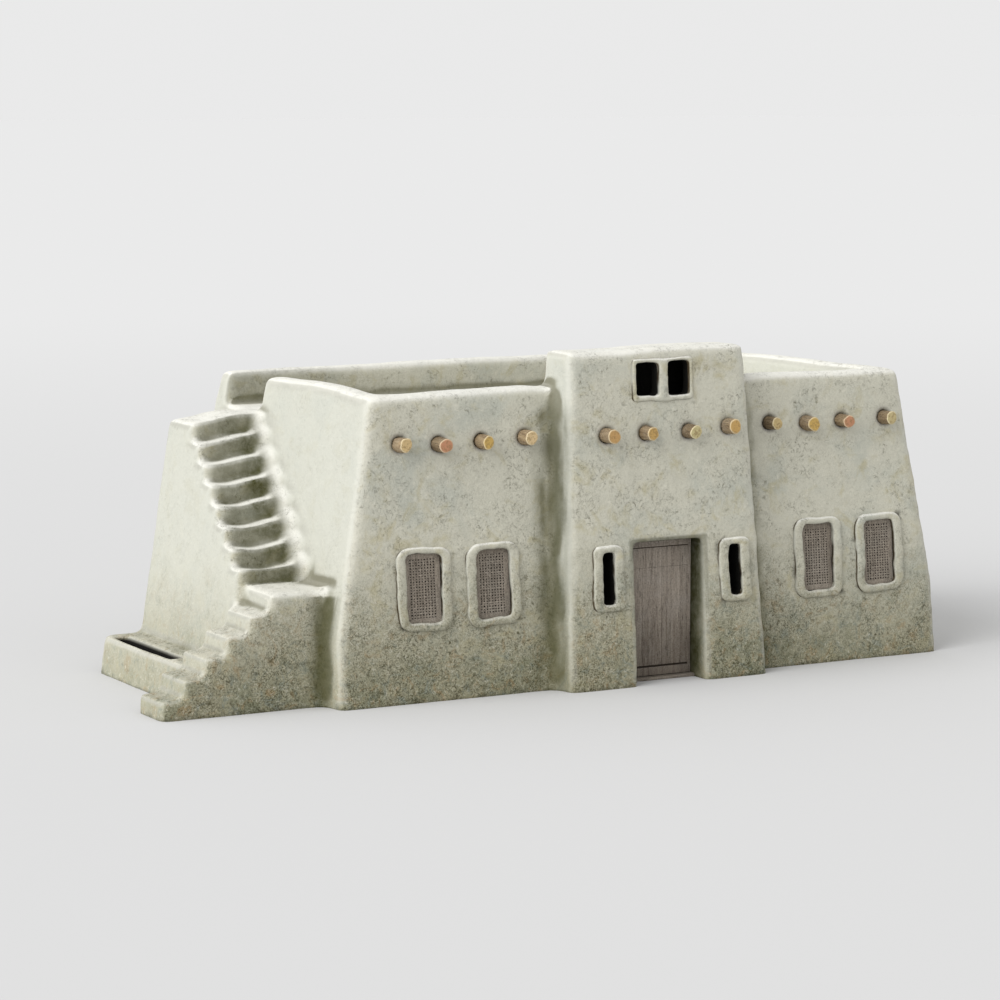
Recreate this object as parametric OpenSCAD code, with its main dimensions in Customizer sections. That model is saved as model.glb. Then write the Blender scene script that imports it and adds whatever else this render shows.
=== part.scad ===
// Adobe house: two low wings round a taller porch tower, a flat roof reached by an outside stair.
// The origin is on the porch centre line, at the foot of the wings' front wall. X runs to the right
// along the front, Y runs into the house and Z is up. All walls lean inwards outside and are plumb inside.

/* [House walls] */
// From the porch centre line to the left end of the house, at the ground
wing_left = 5500; // [4500:10:6600]
// From the porch centre line to the right end of the house, at the ground
wing_right = 5350; // [4400:10:6400]
// Depth of the house from front to back, at the ground
house_depth = 6200; // [5100:10:7500]
// Height of the parapet above the ground
wall_top = 4600; // [4400:10:5000]
// How far the front leans in over its height
front_batter = 400; // [300:10:500]
// How far the back leans in over its height
back_batter = 400; // [300:10:500]
// How far the left end leans in over its height
left_batter = 690; // [500:10:830]
// How far the right end leans in over its height
right_batter = 590; // [470:10:710]
// Height of the nearly plumb foot of the two ends
foot_h = 1100; // [800:10:1400]
// How far the foot of the ends leans in
foot_lean = 30; // [0:5:60]
// Thickness of the parapet at its top
parapet_t = 420; // [340:10:510]

/* [Roof] */
// Height of the roof's walking surface
roof_top = 4060; // [3700:10:4200]
// Thickness of the packed mud roof
roof_mud_t = 75; // [60:5:110]
// Thickness of the cane mat under the mud
roof_mat_t = 25; // [20:5:40]
// Diameter of the roof logs
log_d = 220; // [175:5:265]
// How far the logs stand out of the walls
log_out = 230; // [150:10:300]
// Distance between logs over the wings
log_pitch = 710; // [600:10:860]
// Distance from the porch to the first log of each wing
log_first = 410; // [340:10:500]
// Distance between logs over the porch
porch_log_pitch = 727; // [600:1:780]

/* [Porch tower] */
// Half of the porch's width, at the ground
porch_half = 1810; // [1600:10:2200]
// How far the porch stands out in front of the wings
porch_out = 410; // [300:10:500]
// Height of the porch tower
porch_top = 5120; // [5060:10:5600]
// How far the porch front leans in over its height
porch_front_batter = 420; // [340:10:480]
// How far the porch's left side leans in
porch_left_batter = 190; // [100:10:260]
// How far the porch's right side leans in
porch_right_batter = 260; // [100:10:300]
// Thickness of the porch front wall, at the ground
porch_wall_t = 600; // [550:10:720]
// Thickness of the porch side walls, at the ground
porch_side_t = 450; // [400:10:540]
// Thickness of the slab that closes the tower's head
head_cap_t = 150; // [100:10:180]
// Thickness of the back wall of the tower's head
head_back_t = 250; // [200:10:300]

/* [Door] */
// Left side of the doorway, from the porch centre line
door_left = 600; // [500:10:720]
// Right side of the doorway, from the porch centre line
door_right = 640; // [530:10:770]
// Height of the doorway
door_h = 2200; // [1900:10:2600]
// Height of the floor and the door sill above the ground
floor_t = 50; // [40:5:80]
// How far the door sill reaches in front of the wings' front line
sill_out = 20; // [15:5:60]
// Distance from the wings' front line back to the door leaf
leaf_back = 100; // [60:5:110]
// Thickness of the door leaf
leaf_t = 60; // [50:5:70]
// Gap at the sides of the door leaf
leaf_side_gap = 10; // [6:1:14]
// Gap over the door leaf
leaf_top_gap = 40; // [10:5:60]
// Gap under the door leaf
leaf_foot_gap = 10; // [6:1:20]
// Diameter of the hinge pins
pin_d = 18; // [14:1:22]
// Distance from the inner face of the porch wall to the hinge pins
pin_off = 30; // [26:1:40]
// Length of the hinge straps along the leaf
strap_l = 500; // [400:10:600]
// Height of the hinge straps
strap_h = 45; // [36:1:56]

/* [Windows] */
// Width of a window opening
win_w = 600; // [500:10:720]
// Height of a window opening
win_h = 1065; // [850:5:1280]
// Height of the window sills above the ground
win_sill = 1170; // [1000:5:1400]
// Radius of a window opening's corners
win_r = 100; // [80:5:120]
// Distance between the two windows of a wing
win_pitch = 1180; // [1150:10:1400]
// Shift of the left wing's windows from its middle, towards the porch
win_shift_left = 210; // [150:10:250]
// Shift of the right wing's windows from its middle, towards the porch
win_shift_right = -65; // [-100:5:0]
// Width of the mud surround at each side of a window
ring_side = 150; // [120:10:180]
// Height of the mud surround over a window
ring_top = 85; // [60:5:110]
// Height of the mud surround under a window
ring_foot = 100; // [80:5:120]
// How far the mud surrounds stand out of the wall
ring_out = 50; // [35:5:65]
// Radius of the surrounds' corners
ring_r = 200; // [160:5:240]
// Thickness of the window lattice
lattice_t = 40; // [30:5:60]
// How far the lattice lies behind the wall's face
lattice_back = 20; // [15:5:40]
// Width of a slot window
slot_w = 220; // [175:5:260]
// Height of a slot window
slot_h = 800; // [660:10:960]
// Height of the slot windows' sills
slot_sill = 1290; // [1100:10:1500]
// From the porch's left side to the middle of the left slot, at the ground
slot_left = 730; // [610:5:870]
// From the porch's right side to the middle of the right slot, at the ground
slot_right = 610; // [600:5:730]
// Width of the mud surround at each side of a slot
slot_ring_side = 160; // [130:5:190]
// Height of the mud surround over and under a slot
slot_ring_end = 90; // [70:5:110]
// Width of each opening in the tower's head
head_w = 400; // [320:10:480]
// Height of the openings in the tower's head
head_h = 530; // [430:10:600]
// Width of the mud between the two head openings
head_gap = 165; // [130:5:200]
// Width of the mud surround beside and under the head openings
head_ring = 75; // [60:5:90]

/* [Stair and bench] */
// Number of steps up to the landing
low_steps = 6; // [5:1:7]
// Number of steps from the landing to the roof
high_steps = 8; // [7:1:9]
// Depth of a tread on the lower flight
low_run = 350; // [290:5:420]
// Depth of a tread on the upper flight
high_run = 345; // [290:5:380]
// From the wings' front line back to the face of the lower flight
stair_front = 480; // [400:10:580]
// Width of the lower flight
stair_w = 940; // [790:10:1130]
// How far the lower flight's face leans in up to the landing
stair_face_lean = 60; // [0:5:100]
// From the house's left end out to the edge of the landing
landing_w = 880; // [800:10:1060]
// From the house's left end out to the foot of the upper flight
stair_foot_w = 1320; // [1100:10:1400]
// How far the upper flight's outer face leans in up to the roof
stair_batter = 650; // [500:10:780]
// Length of the top landing
top_landing_l = 960; // [800:10:1150]
// Height of the bench beside the stair
bench_h = 600; // [500:10:720]
// From the house's left end out to the foot of the bench
bench_foot_w = 1930; // [1760:10:2100]
// How far the bench's face leans in
bench_lean = 140; // [100:10:170]
// Width of the trough in the bench
trough_w = 200; // [160:5:240]
// Depth of the trough in the bench
trough_d = 400; // [320:10:480]
// Width of the bench's rim outside the trough
trough_rim = 90; // [60:5:120]
// Thickness of the bench at the trough's far end
trough_end = 240; // [180:10:300]
// Length of the trough
trough_l = 2260; // [1800:10:2500]
// Width of the way through the parapet at the stair's head
gate_w = 1280; // [1000:10:1500]

/* [Hidden] */
seat = 0.3; // clearance of a piece that is set in or against another
over = 50; // how far a cutting shape runs past what it cuts
big = 20000; // longer than the whole house

room_left = -(wing_left - left_batter - parapet_t);
room_right = wing_right - right_batter - parapet_t;
room_front = front_batter + parapet_t;
room_back = house_depth - back_batter - parapet_t;
porch_in = porch_wall_t - porch_out;
hall_half = porch_half - porch_side_t;
head_ceiling = porch_top - head_cap_t;
mat_z = roof_top - roof_mud_t - roof_mat_t;
log_z = mat_z - log_d / 2;

front_tilt = atan(front_batter / wall_top);
back_tilt = atan(back_batter / wall_top);
porch_tilt = atan(porch_front_batter / porch_top);
// How deep a surround's cut has to reach to clear its own tilt
ring_cut = 3 * ring_out;

// Distance of a wall's outer face from its foot line at a height
function front_y(z) = front_batter * z / wall_top;
function back_y(z) = house_depth - back_batter * z / wall_top;
function porch_y(z) = porch_front_batter * z / porch_top - porch_out;
// Distance of an end's outer face from the centre line at a height above its foot
function end_x(half, lean, z) = half - foot_lean - (lean - foot_lean) * (z - foot_h) / (wall_top - foot_h);

// Small shifts of the hand-set logs, by their place in the row
log_shift_left = [0, 20, 60, -10];
log_shift_right = [10, -20, -30, 80];
// Distances of a wing's logs from the centre line: as many as the wing holds
function wing_logs(half, lean, shifts) = [
    for (i = [0 : 9])
        let (x = porch_half + log_first + i * log_pitch + shifts[i % 4])
        if (x + log_d < end_x(half, lean, log_z)) x
];
logs_left = [for (x = wing_logs(wing_left, left_batter, log_shift_left)) -x];
logs_right = wing_logs(wing_right, right_batter, log_shift_right);
log_shift_porch = [10, -20, 5, 5];
porch_mid_shift = 70; // the porch logs sit a little to the right of the centre line
logs_porch = [for (i = [0 : 3]) (i - 1.5) * porch_log_pitch + porch_mid_shift + log_shift_porch[i]];

win_mid_left = -(porch_half + wing_left) / 2 + win_shift_left;
win_mid_right = (porch_half + wing_right) / 2 - win_shift_right;
win_x = [win_mid_left - win_pitch / 2, win_mid_left + win_pitch / 2,
    win_mid_right - win_pitch / 2, win_mid_right + win_pitch / 2];
rear_x = [win_mid_left, win_mid_right];
win_z = win_sill + win_h / 2;
slot_x = [-(porch_half - slot_left), porch_half - slot_right];
slot_z = slot_sill + slot_h / 2;
slot_ring_r = 110; // radius of the slot surrounds' corners
opening_r = 50; // radius of the corners of the slots and the head openings
head_mid = 10; // the head openings sit a little to the right of the centre line
head_over = 10; // mud between the head openings and the cap
head_z = head_ceiling - head_over - head_h / 2;
head_ring_top = 40; // height of the head surround over its openings
head_ring_out = 30; // how far the head surround stands out of the wall
head_x = [head_mid - (head_w + head_gap) / 2, head_mid + (head_w + head_gap) / 2];

pin_x = door_right;
pin_y = porch_in + pin_off;
leaf_in = leaf_back + leaf_t; // the leaf's inner face
leaf_bottom = floor_t + leaf_foot_gap;
leaf_top = door_h - leaf_top_gap;
strap_t = 8;
eye_wall = 9; // metal round a hinge eye
hinge_in = 350; // hinges from the leaf's top and bottom
hinge_z = [leaf_bottom + hinge_in, leaf_top - hinge_in];
pintle_plate = 120; // length of the hook on the wall
pintle_h = 20; // height of the hook's arm

rise = roof_top / (low_steps + high_steps);
landing_z = low_steps * rise;
landing_x = -(wing_left + landing_w);
flight_y = stair_front + stair_w; // the upper flight's first riser
stair_end = flight_y + (high_steps - 1) * high_run + top_landing_l;
stair_foot = -(wing_left + stair_foot_w);
bench_foot = -(wing_left + bench_foot_w);
trough_x = bench_foot + bench_lean + trough_rim;

mud = [0.72, 0.71, 0.64];
mud_dark = [0.66, 0.63, 0.54];
log_tone = [0.72, 0.60, 0.40];
lattice_tone = [0.55, 0.50, 0.42];
door_tone = [0.52, 0.47, 0.40];
iron = [0.20, 0.19, 0.18];
cane = [0.74, 0.64, 0.44];

// A box from its lowest to its highest corner
module box(a, b) translate(a) cube(b - a);

// A profile drawn in X and Z, run along Y from y0 to y1
module along_y(y0, y1) translate([0, y1, 0]) rotate([90, 0, 0]) linear_extrude(y1 - y0) children();

// A profile drawn in Y and Z, run along X from x0 to x1
module along_x(x0, x1) translate([x0, 0, 0]) rotate([90, 0, 90]) linear_extrude(x1 - x0) children();

// A rectangle with round corners about its middle
module round_rect(w, h, r) {
    square([w - 2 * r, h], center = true);
    square([w, h - 2 * r], center = true);
    for (sx = [-1, 1], sz = [-1, 1])
        translate([sx * (w / 2 - r), sz * (h / 2 - r)]) circle(r = r, $fn = 48);
}

// The whole outside of the wings as one leaning block
module house_block() intersection() {
    along_y(-over, house_depth + over) polygon([
        [-wing_left, 0],
        [-wing_left + foot_lean, foot_h],
        [-wing_left + left_batter, wall_top],
        [wing_right - right_batter, wall_top],
        [wing_right - foot_lean, foot_h],
        [wing_right, 0]
    ]);
    along_x(-wing_left - over, wing_right + over) polygon([
        [0, 0],
        [front_batter, wall_top],
        [house_depth - back_batter, wall_top],
        [house_depth, 0]
    ]);
}

// The whole outside of the porch tower, back to the inner face of the wings' front wall
module porch_block() intersection() {
    along_y(-porch_out - over, room_front) polygon([
        [-porch_half, 0],
        [-porch_half + porch_left_batter, porch_top],
        [porch_half - porch_right_batter, porch_top],
        [porch_half, 0]
    ]);
    along_x(-porch_half - over, porch_half + over) polygon([
        [-porch_out, 0],
        [porch_front_batter - porch_out, porch_top],
        [room_front + over, porch_top],
        [room_front + over, 0]
    ]);
}

// Places its children on a leaning face: X along the wall, Z up the face, -Y out of it
module on_front(x, z) translate([x, front_y(z), z]) rotate([-front_tilt, 0, 0]) children();
module on_porch(x, z) translate([x, porch_y(z), z]) rotate([-porch_tilt, 0, 0]) children();
module on_back(x, z) translate([x, back_y(z), z]) rotate([0, 0, 180]) rotate([-back_tilt, 0, 0]) children();

// A flat plate with round corners that stands out from y = 0 towards -Y
module plate(w, h, r, t) rotate([90, 0, 0]) linear_extrude(t) round_rect(w, h, r);

// A straight opening through a wall along Y
module opening_y(x, z, w, h, y0, y1) along_y(y0, y1) translate([x, z]) round_rect(w, h, opening_r);

// The window's opening square to the leaning wall face
module window_cut() translate([0, room_front, 0]) plate(win_w, win_h, win_r, room_front + ring_cut);

// A ring of mud round one window
module window_ring() difference() {
    translate([0, -seat, (ring_top - ring_foot) / 2])
        plate(win_w + 2 * ring_side, win_h + ring_top + ring_foot, ring_r, ring_out);
    window_cut();
}

// The lattice that fills one window
module window_panel() translate([0, lattice_back + lattice_t, 0])
    plate(win_w - 2 * seat, win_h - 2 * seat, win_r, lattice_t);

// One roof log from y0 to y1
module log(x, y0, y1, r) translate([x, y0, log_z]) rotate([-90, 0, 0]) cylinder(h = y1 - y0, r = r, $fn = 64);

// A wall's holes for a row of logs
module log_holes(xs) for (x = xs) log(x, -big, big, log_d / 2 + seat);

// A row of logs: the ones over an end wall are a stub at the front and one at the back
module logs(xs, y0) for (x = xs) {
    clear = x - log_d / 2 > room_left && x + log_d / 2 < room_right;
    if (clear) {
        log(x, y0, back_y(log_z) + log_out, log_d / 2);
    } else {
        log(x, y0, room_front - seat, log_d / 2);
        log(x, room_back + seat, back_y(log_z) + log_out, log_d / 2);
    }
}

// One wing's front wall, given the side of the porch that it is on
module front_wall(side, logs_x) difference() {
    intersection() {
        house_block();
        box([side < 0 ? -big : 0, -over, -over], [side < 0 ? 0 : big, room_front, wall_top + over]);
    }
    porch_block();
    for (x = win_x) on_front(x, win_z) window_cut();
    log_holes(logs_x);
}
module front_wall_left() color(mud) front_wall(-1, logs_left);
module front_wall_right() color(mud) front_wall(1, logs_right);

// The left end wall, open at the head of the stair
module end_wall_left() color(mud) difference() {
    intersection() {
        house_block();
        box([-big, room_front, -over], [room_left, room_back, wall_top + over]);
    }
    box([-big, room_back - gate_w, roof_top], [room_left + over, room_back + over, wall_top + over]);
}

module end_wall_right() color(mud) intersection() {
    house_block();
    box([room_right, room_front, -over], [big, room_back, wall_top + over]);
}

module back_wall() color(mud) difference() {
    intersection() {
        house_block();
        box([-big, room_back, -over], [big, house_depth + over, wall_top + over]);
    }
    for (x = rear_x) on_back(x, win_z) window_cut();
    log_holes([each logs_left, each logs_porch, each logs_right]);
}

// The part of the porch tower between two corners
module porch_part(a, b) intersection() {
    porch_block();
    box(a, b);
}

module porch_pier_left() color(mud) difference() {
    porch_part([-hall_half, -big, -over], [-door_left, porch_in, door_h]);
    opening_y(slot_x[0], slot_z, slot_w, slot_h, -big, big);
}

module porch_pier_right() color(mud) difference() {
    porch_part([door_right, -big, -over], [hall_half, porch_in, door_h]);
    opening_y(slot_x[1], slot_z, slot_w, slot_h, -big, big);
}

module porch_wall_over_door() color(mud) difference() {
    porch_part([-hall_half, -big, door_h], [hall_half, porch_in, head_ceiling]);
    for (x = head_x) opening_y(x, head_z, head_w, head_h, -big, big);
    log_holes(logs_porch);
}

module porch_side_left() color(mud) porch_part([-big, -big, -over], [-hall_half, room_front + over, head_ceiling]);
module porch_side_right() color(mud) porch_part([hall_half, -big, -over], [big, room_front + over, head_ceiling]);
module porch_head_back() color(mud)
    box([-hall_half, room_front - head_back_t, roof_top], [hall_half, room_front, head_ceiling]);
module porch_head_cap() color(mud) porch_part([-big, -big, head_ceiling], [big, big, big]);

// A layer over the room and the hall behind the door
module layer(z0, z1) {
    box([room_left, room_front, z0], [room_right, room_back, z1]);
    box([-hall_half, porch_in, z0], [hall_half, room_front + over, z1]);
}
module roof_mud() color(mud_dark) layer(mat_z + roof_mat_t, roof_top);
module roof_mat() color(cane) layer(mat_z, mat_z + roof_mat_t);
module floor() color(mud_dark) layer(0, floor_t);

module vigas_left() color(log_tone) logs(logs_left, front_y(log_z) - log_out);
module vigas_right() color(log_tone) logs(logs_right, front_y(log_z) - log_out);
module vigas_porch() color(log_tone) logs(logs_porch, porch_y(log_z) - log_out);

module window_surround(i) color(mud) on_front(win_x[i], win_z) window_ring();
module window_lattice(i) color(lattice_tone) on_front(win_x[i], win_z) window_panel();
module rear_surround(i) color(mud) on_back(rear_x[i], win_z) window_ring();
module rear_lattice(i) color(lattice_tone) on_back(rear_x[i], win_z) window_panel();

// A ring of mud round a slot window
module slot_surround(x) color(mud) difference() {
    on_porch(x, slot_z) translate([0, -seat, 0])
        plate(slot_w + 2 * slot_ring_side, slot_h + 2 * slot_ring_end, slot_ring_r, ring_out);
    opening_y(x, slot_z, slot_w, slot_h, -big, big);
}

// One ring of mud round both openings of the tower's head
module head_surround() color(mud) difference() {
    on_porch(head_mid, head_z + (head_ring_top - head_ring) / 2) translate([0, -seat, 0])
        plate(2 * head_w + head_gap + 2 * head_ring, head_h + head_ring + head_ring_top, head_ring, head_ring_out);
    for (x = head_x) opening_y(x, head_z, head_w, head_h, -big, big);
}

module door_leaf() color(door_tone)
    box([-door_left + leaf_side_gap, leaf_back, leaf_bottom], [door_right - leaf_side_gap, leaf_in, leaf_top]);

// The two iron straps on the leaf's inner face, each with an eye round its pin
module door_straps() color(iron) for (z = hinge_z) difference() {
    union() {
        box([pin_x - leaf_side_gap - strap_l, leaf_in, z], [pin_x - leaf_side_gap, leaf_in + strap_t, z + strap_h]);
        box([pin_x - pin_d - eye_wall, leaf_in, z], [pin_x - leaf_side_gap, pin_y, z + strap_h]);
        translate([pin_x, pin_y, z]) cylinder(h = strap_h, r = pin_d / 2 + eye_wall, $fn = 48);
    }
    translate([pin_x, pin_y, z - over]) cylinder(h = strap_h + 2 * over, r = pin_d / 2 + seat, $fn = 48);
}

// The two hooks on the wall that carry the eyes
module door_pintles() color(iron) for (z = hinge_z) translate([pin_x, porch_in, z - seat]) {
    box([-pin_d / 2, 0, -pintle_h], [pintle_plate, pin_off + pin_d / 2, 0]);
    translate([0, pin_off, -pintle_h]) cylinder(h = pintle_h + strap_h, r = pin_d / 2, $fn = 48);
}

// The timber threshold under the leaf
module door_sill() color(door_tone) box([-door_left, -sill_out, 0], [door_right, porch_in, floor_t]);

// The lower flight climbs to the right along the front
module stair_lower() color(mud) intersection() {
    along_y(stair_front, flight_y) polygon([
        for (i = [0 : low_steps - 2], k = [0, 1])
            [landing_x - (low_steps - 1 - i) * low_run, (i + k) * rise],
        [landing_x, (low_steps - 1) * rise],
        [landing_x, 0]
    ]);
    stair_face();
}

// The lean of the lower flight's front face
module stair_face() along_x(-big, 0) polygon([
    [stair_front, 0],
    [stair_front + stair_face_lean, landing_z],
    [flight_y, landing_z],
    [flight_y, 0]
]);

module stair_landing() color(mud) difference() {
    intersection() {
        box([landing_x, stair_front, 0], [0, flight_y, landing_z]);
        stair_face();
    }
    house_block();
}

// The solid that carries the upper flight, with its leaning outer face
module stair_mass() along_y(flight_y, stair_end) polygon([
    [stair_foot, 0],
    [stair_foot + stair_batter, roof_top],
    [0, roof_top],
    [0, 0]
]);

// The upper flight climbs backwards along the left end of the house
module stair_upper() color(mud) difference() {
    intersection() {
        stair_mass();
        along_x(-big, 0) polygon([
            [flight_y, 0],
            for (i = [0 : high_steps - 1], k = [0, 1])
                [flight_y + i * high_run, landing_z + (i + k) * rise],
            [stair_end, roof_top],
            [stair_end, 0]
        ]);
    }
    house_block();
}

// The low bench with a narrow trough, along the foot of the upper flight
module bench() color(mud) difference() {
    along_y(flight_y, stair_end) polygon([
        [bench_foot, 0],
        [bench_foot + bench_lean, bench_h],
        [0, bench_h],
        [0, 0]
    ]);
    stair_mass();
    house_block();
    box([trough_x, stair_end - trough_end - trough_l, bench_h - trough_d],
        [trough_x + trough_w, stair_end - trough_end, bench_h + over]);
}

front_wall_left();
front_wall_right();
end_wall_left();
end_wall_right();
back_wall();
porch_pier_left();
porch_pier_right();
porch_wall_over_door();
porch_side_left();
porch_side_right();
porch_head_back();
porch_head_cap();
roof_mud();
roof_mat();
vigas_left();
vigas_porch();
vigas_right();
window_surround(0);  // window_surround_1
window_surround(1);  // window_surround_2
window_surround(2);  // window_surround_3
window_surround(3);  // window_surround_4
window_lattice(0);  // window_lattice_1
window_lattice(1);  // window_lattice_2
window_lattice(2);  // window_lattice_3
window_lattice(3);  // window_lattice_4
rear_surround(0);  // rear_surround_left
rear_surround(1);  // rear_surround_right
rear_lattice(0);  // rear_lattice_left
rear_lattice(1);  // rear_lattice_right
slot_surround(slot_x[0]);  // slot_surround_left
slot_surround(slot_x[1]);  // slot_surround_right
head_surround();
door_leaf();
door_straps();
door_pintles();
door_sill();
floor();
stair_lower();
stair_landing();
stair_upper();
bench();
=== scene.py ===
import math
import random
import bpy
import bmesh
import numpy as np
from mathutils import Matrix, Vector, noise


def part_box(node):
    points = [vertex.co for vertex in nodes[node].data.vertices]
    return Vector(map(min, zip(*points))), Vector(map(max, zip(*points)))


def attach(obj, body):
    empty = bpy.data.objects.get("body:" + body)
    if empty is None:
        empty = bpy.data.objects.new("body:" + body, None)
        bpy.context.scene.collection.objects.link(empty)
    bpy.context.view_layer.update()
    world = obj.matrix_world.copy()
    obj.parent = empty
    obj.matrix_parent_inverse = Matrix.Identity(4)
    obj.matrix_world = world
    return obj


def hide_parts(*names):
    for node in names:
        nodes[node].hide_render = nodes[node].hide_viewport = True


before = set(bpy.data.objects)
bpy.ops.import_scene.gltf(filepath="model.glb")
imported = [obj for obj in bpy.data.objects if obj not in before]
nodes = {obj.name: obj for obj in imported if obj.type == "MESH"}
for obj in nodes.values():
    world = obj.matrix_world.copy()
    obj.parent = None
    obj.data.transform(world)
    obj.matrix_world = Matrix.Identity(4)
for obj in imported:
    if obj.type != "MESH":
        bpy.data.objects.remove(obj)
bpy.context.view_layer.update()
scene = bpy.context.scene
random.seed(7)

# helpers for colours, nodes and meshes


def hexLinear(code):
    raw = [int(code[i:i + 2], 16) / 255 for i in (1, 3, 5)]
    return tuple(c / 12.92 if c <= 0.04045 else ((c + 0.055) / 1.055) ** 2.4 for c in raw) + (1.0,)


def addNode(tree, kind, settings, *values, out=0):
    # settings are properties and named inputs, values are the first inputs in their order
    node = tree.nodes.new("ShaderNode" + kind)
    for key, value in list(settings.items()) + list(enumerate(values)):
        if isinstance(value, bpy.types.NodeSocket):
            tree.links.new(value, node.inputs[key])
        elif isinstance(key, int) or key in node.inputs:
            node.inputs[key].default_value = value
        else:
            setattr(node, key, value)
    return node.outputs[out]


def newMaterial(name, settings, noises):
    # each noise pattern has its size in mm, detail, roughness and warp, and may be stretched
    material = bpy.data.materials.new(name)
    material.use_nodes = True
    tree = material.node_tree
    for key, value in settings.items():
        tree.nodes["Principled BSDF"].inputs[key].default_value = value
    place = addNode(tree, "TexCoord", {}, out="Object")
    made = {}
    for key, (size, detail, rough, warp, *stretch) in noises.items():
        where = addNode(tree, "VectorMath", {"operation": "MULTIPLY"}, place, *stretch) if stretch else place
        made[key] = addNode(tree, "TexNoise", {"Scale": 1000 / size, "Detail": detail, "Roughness": rough,
                                               "Distortion": warp}, where)
    return material, tree, place, made


def layered(tree, colour, layers):
    # lays colours over one another: how each is mixed, how much of it shows where, and its hex code
    for blend, share, code in layers:
        colour = addNode(tree, "Mix", {"data_type": "RGBA", "blend_type": blend, 0: share, 6: colour,
                                       7: hexLinear(code)}, out=2)
    return colour


def finishMaterial(tree, colour, bumps, roughness=None):
    # joins the colour, the relief from coarse to fine and, where it varies, the roughness to the shader
    relief = {}
    for height, strength, distance in bumps:
        bump = addNode(tree, "Bump", {"Height": height, "Strength": strength, "Distance": distance, **relief})
        relief = {"Normal": bump}
    sources = {"Base Color": colour, **relief}
    if roughness:
        sources["Roughness"] = roughness
    for key, source in sources.items():
        tree.links.new(source, tree.nodes["Principled BSDF"].inputs[key])


def newPart(fields=()):
    bm = bmesh.new()
    for name in fields:
        bm.verts.layers.float.new(name)
    return bm


def join(bm, part):
    mesh = bpy.data.meshes.new("part")
    part.to_mesh(mesh)
    part.free()
    bm.from_mesh(mesh)
    bpy.data.meshes.remove(mesh)


def cadCopy(names):
    bm = bmesh.new()
    for name in names:
        part = bmesh.new()
        part.from_mesh(nodes[name].data)
        bmesh.ops.remove_doubles(part, verts=part.verts, dist=1e-5)
        join(bm, part)
    return bm


def looseBoxes(name):
    # the lowest and highest corner of every loose solid of a CAD node, from left to right
    bm = cadCopy([name])
    left, boxes = set(bm.verts), []
    while left:
        island, front = [], [left.pop()]
        while front:
            v = front.pop()
            island.append(v.co.copy())
            near = [e.other_vert(v) for e in v.link_edges if e.other_vert(v) in left]
            left.difference_update(near)
            front.extend(near)
        boxes.append((Vector([min(c[k] for c in island) for k in range(3)]),
                      Vector([max(c[k] for c in island) for k in range(3)])))
    bm.free()
    return sorted(boxes, key=lambda pair: (round(pair[0].x, 2), pair[0].y))


def meshObject(name, bm, smooth=True):
    mesh = bpy.data.meshes.new(name)
    for face in bm.faces:
        face.smooth = smooth
    bm.to_mesh(mesh)
    bm.free()
    obj = bpy.data.objects.new(name, mesh)
    scene.collection.objects.link(obj)
    return obj


def bake(obj):
    # turns the live modifiers into the mesh itself
    graph = bpy.context.evaluated_depsgraph_get()
    mesh = bpy.data.meshes.new_from_object(obj.evaluated_get(graph))
    obj.modifiers.clear()
    old = obj.data
    obj.data = mesh
    bpy.data.meshes.remove(old)
    mesh.name = obj.name


def remeshed(obj, size):
    remesh = obj.modifiers.new("remesh", "REMESH")
    remesh.mode = "VOXEL"
    remesh.voxel_size = size
    bake(obj)


def thinned(obj, share):
    thin = obj.modifiers.new("thin", "DECIMATE")
    thin.ratio = share
    bake(obj)


def points(mesh):
    co = np.empty(len(mesh.vertices) * 3, np.float32)
    mesh.vertices.foreach_get("co", co)
    return co.reshape(-1, 3).astype(float)


def normals(mesh):
    no = np.empty(len(mesh.vertices) * 3, np.float32)
    mesh.vertex_normals.foreach_get("vector", no)
    return no.reshape(-1, 3).astype(float)


def setPoints(mesh, co):
    mesh.vertices.foreach_set("co", co.astype(np.float32).ravel())
    mesh.update()


def neighbours(mesh):
    pairs = np.empty(len(mesh.edges) * 2, np.int32)
    mesh.edges.foreach_get("vertices", pairs)
    pairs = pairs.reshape(-1, 2)
    here = np.concatenate((pairs[:, 0], pairs[:, 1]))
    there = np.concatenate((pairs[:, 1], pairs[:, 0]))
    return here, there, np.maximum(np.bincount(here, minlength=len(mesh.vertices)), 1)


def relaxed(mesh, co, weight, passes):
    # each pass moves every point towards the mean of its neighbours
    here, there, count = neighbours(mesh)
    for _ in range(passes):
        mean = np.stack([np.bincount(here, co[there, k], len(co)) for k in range(3)], axis=1)
        co = co + (mean / count[:, None] - co) * weight[:, None] * 0.5
    return co


def noiseAt(co, length, shift=0.0):
    return np.array([noise.noise(Vector(p)) for p in (co / length + shift)])


def step(value, low, high):
    t = np.clip((value - low) / (high - low), 0, 1)
    return t * t * (3 - 2 * t)


def outside(co, low, high):
    # distance of each point from a box, 0 within it
    away = np.maximum(np.maximum(np.array(low) - co, co - np.array(high)), 0)
    return np.sqrt((away ** 2).sum(axis=1))


def addField(mesh, name, values):
    field = mesh.attributes.new(name, "FLOAT", "POINT")
    field.data.foreach_set("value", values.astype(np.float32))


def bendOf(mesh, reach, passes=3):
    # positive in hollows, negative on edges: the mean bend of the surface over a reach in metres
    co, no = points(mesh), normals(mesh)
    here, there, count = neighbours(mesh)
    way = co[there] - co[here]
    size = np.maximum(np.linalg.norm(way, axis=1), 1e-6)
    bend = np.bincount(here, (way * no[here]).sum(axis=1) / size ** 2, len(co)) / count * reach
    for _ in range(passes):
        bend = 0.5 * bend + 0.5 * np.bincount(here, bend[there], len(co)) / count
    return np.clip(bend, -1, 1)


def faceOut(bm, side):
    # the way out of the wall of a leaning plate: the normal of its largest face on that side
    best = max((f for f in bm.faces if f.normal.y * side > 0.5), key=lambda f: f.calc_area())
    return best.normal.normalized()


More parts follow.
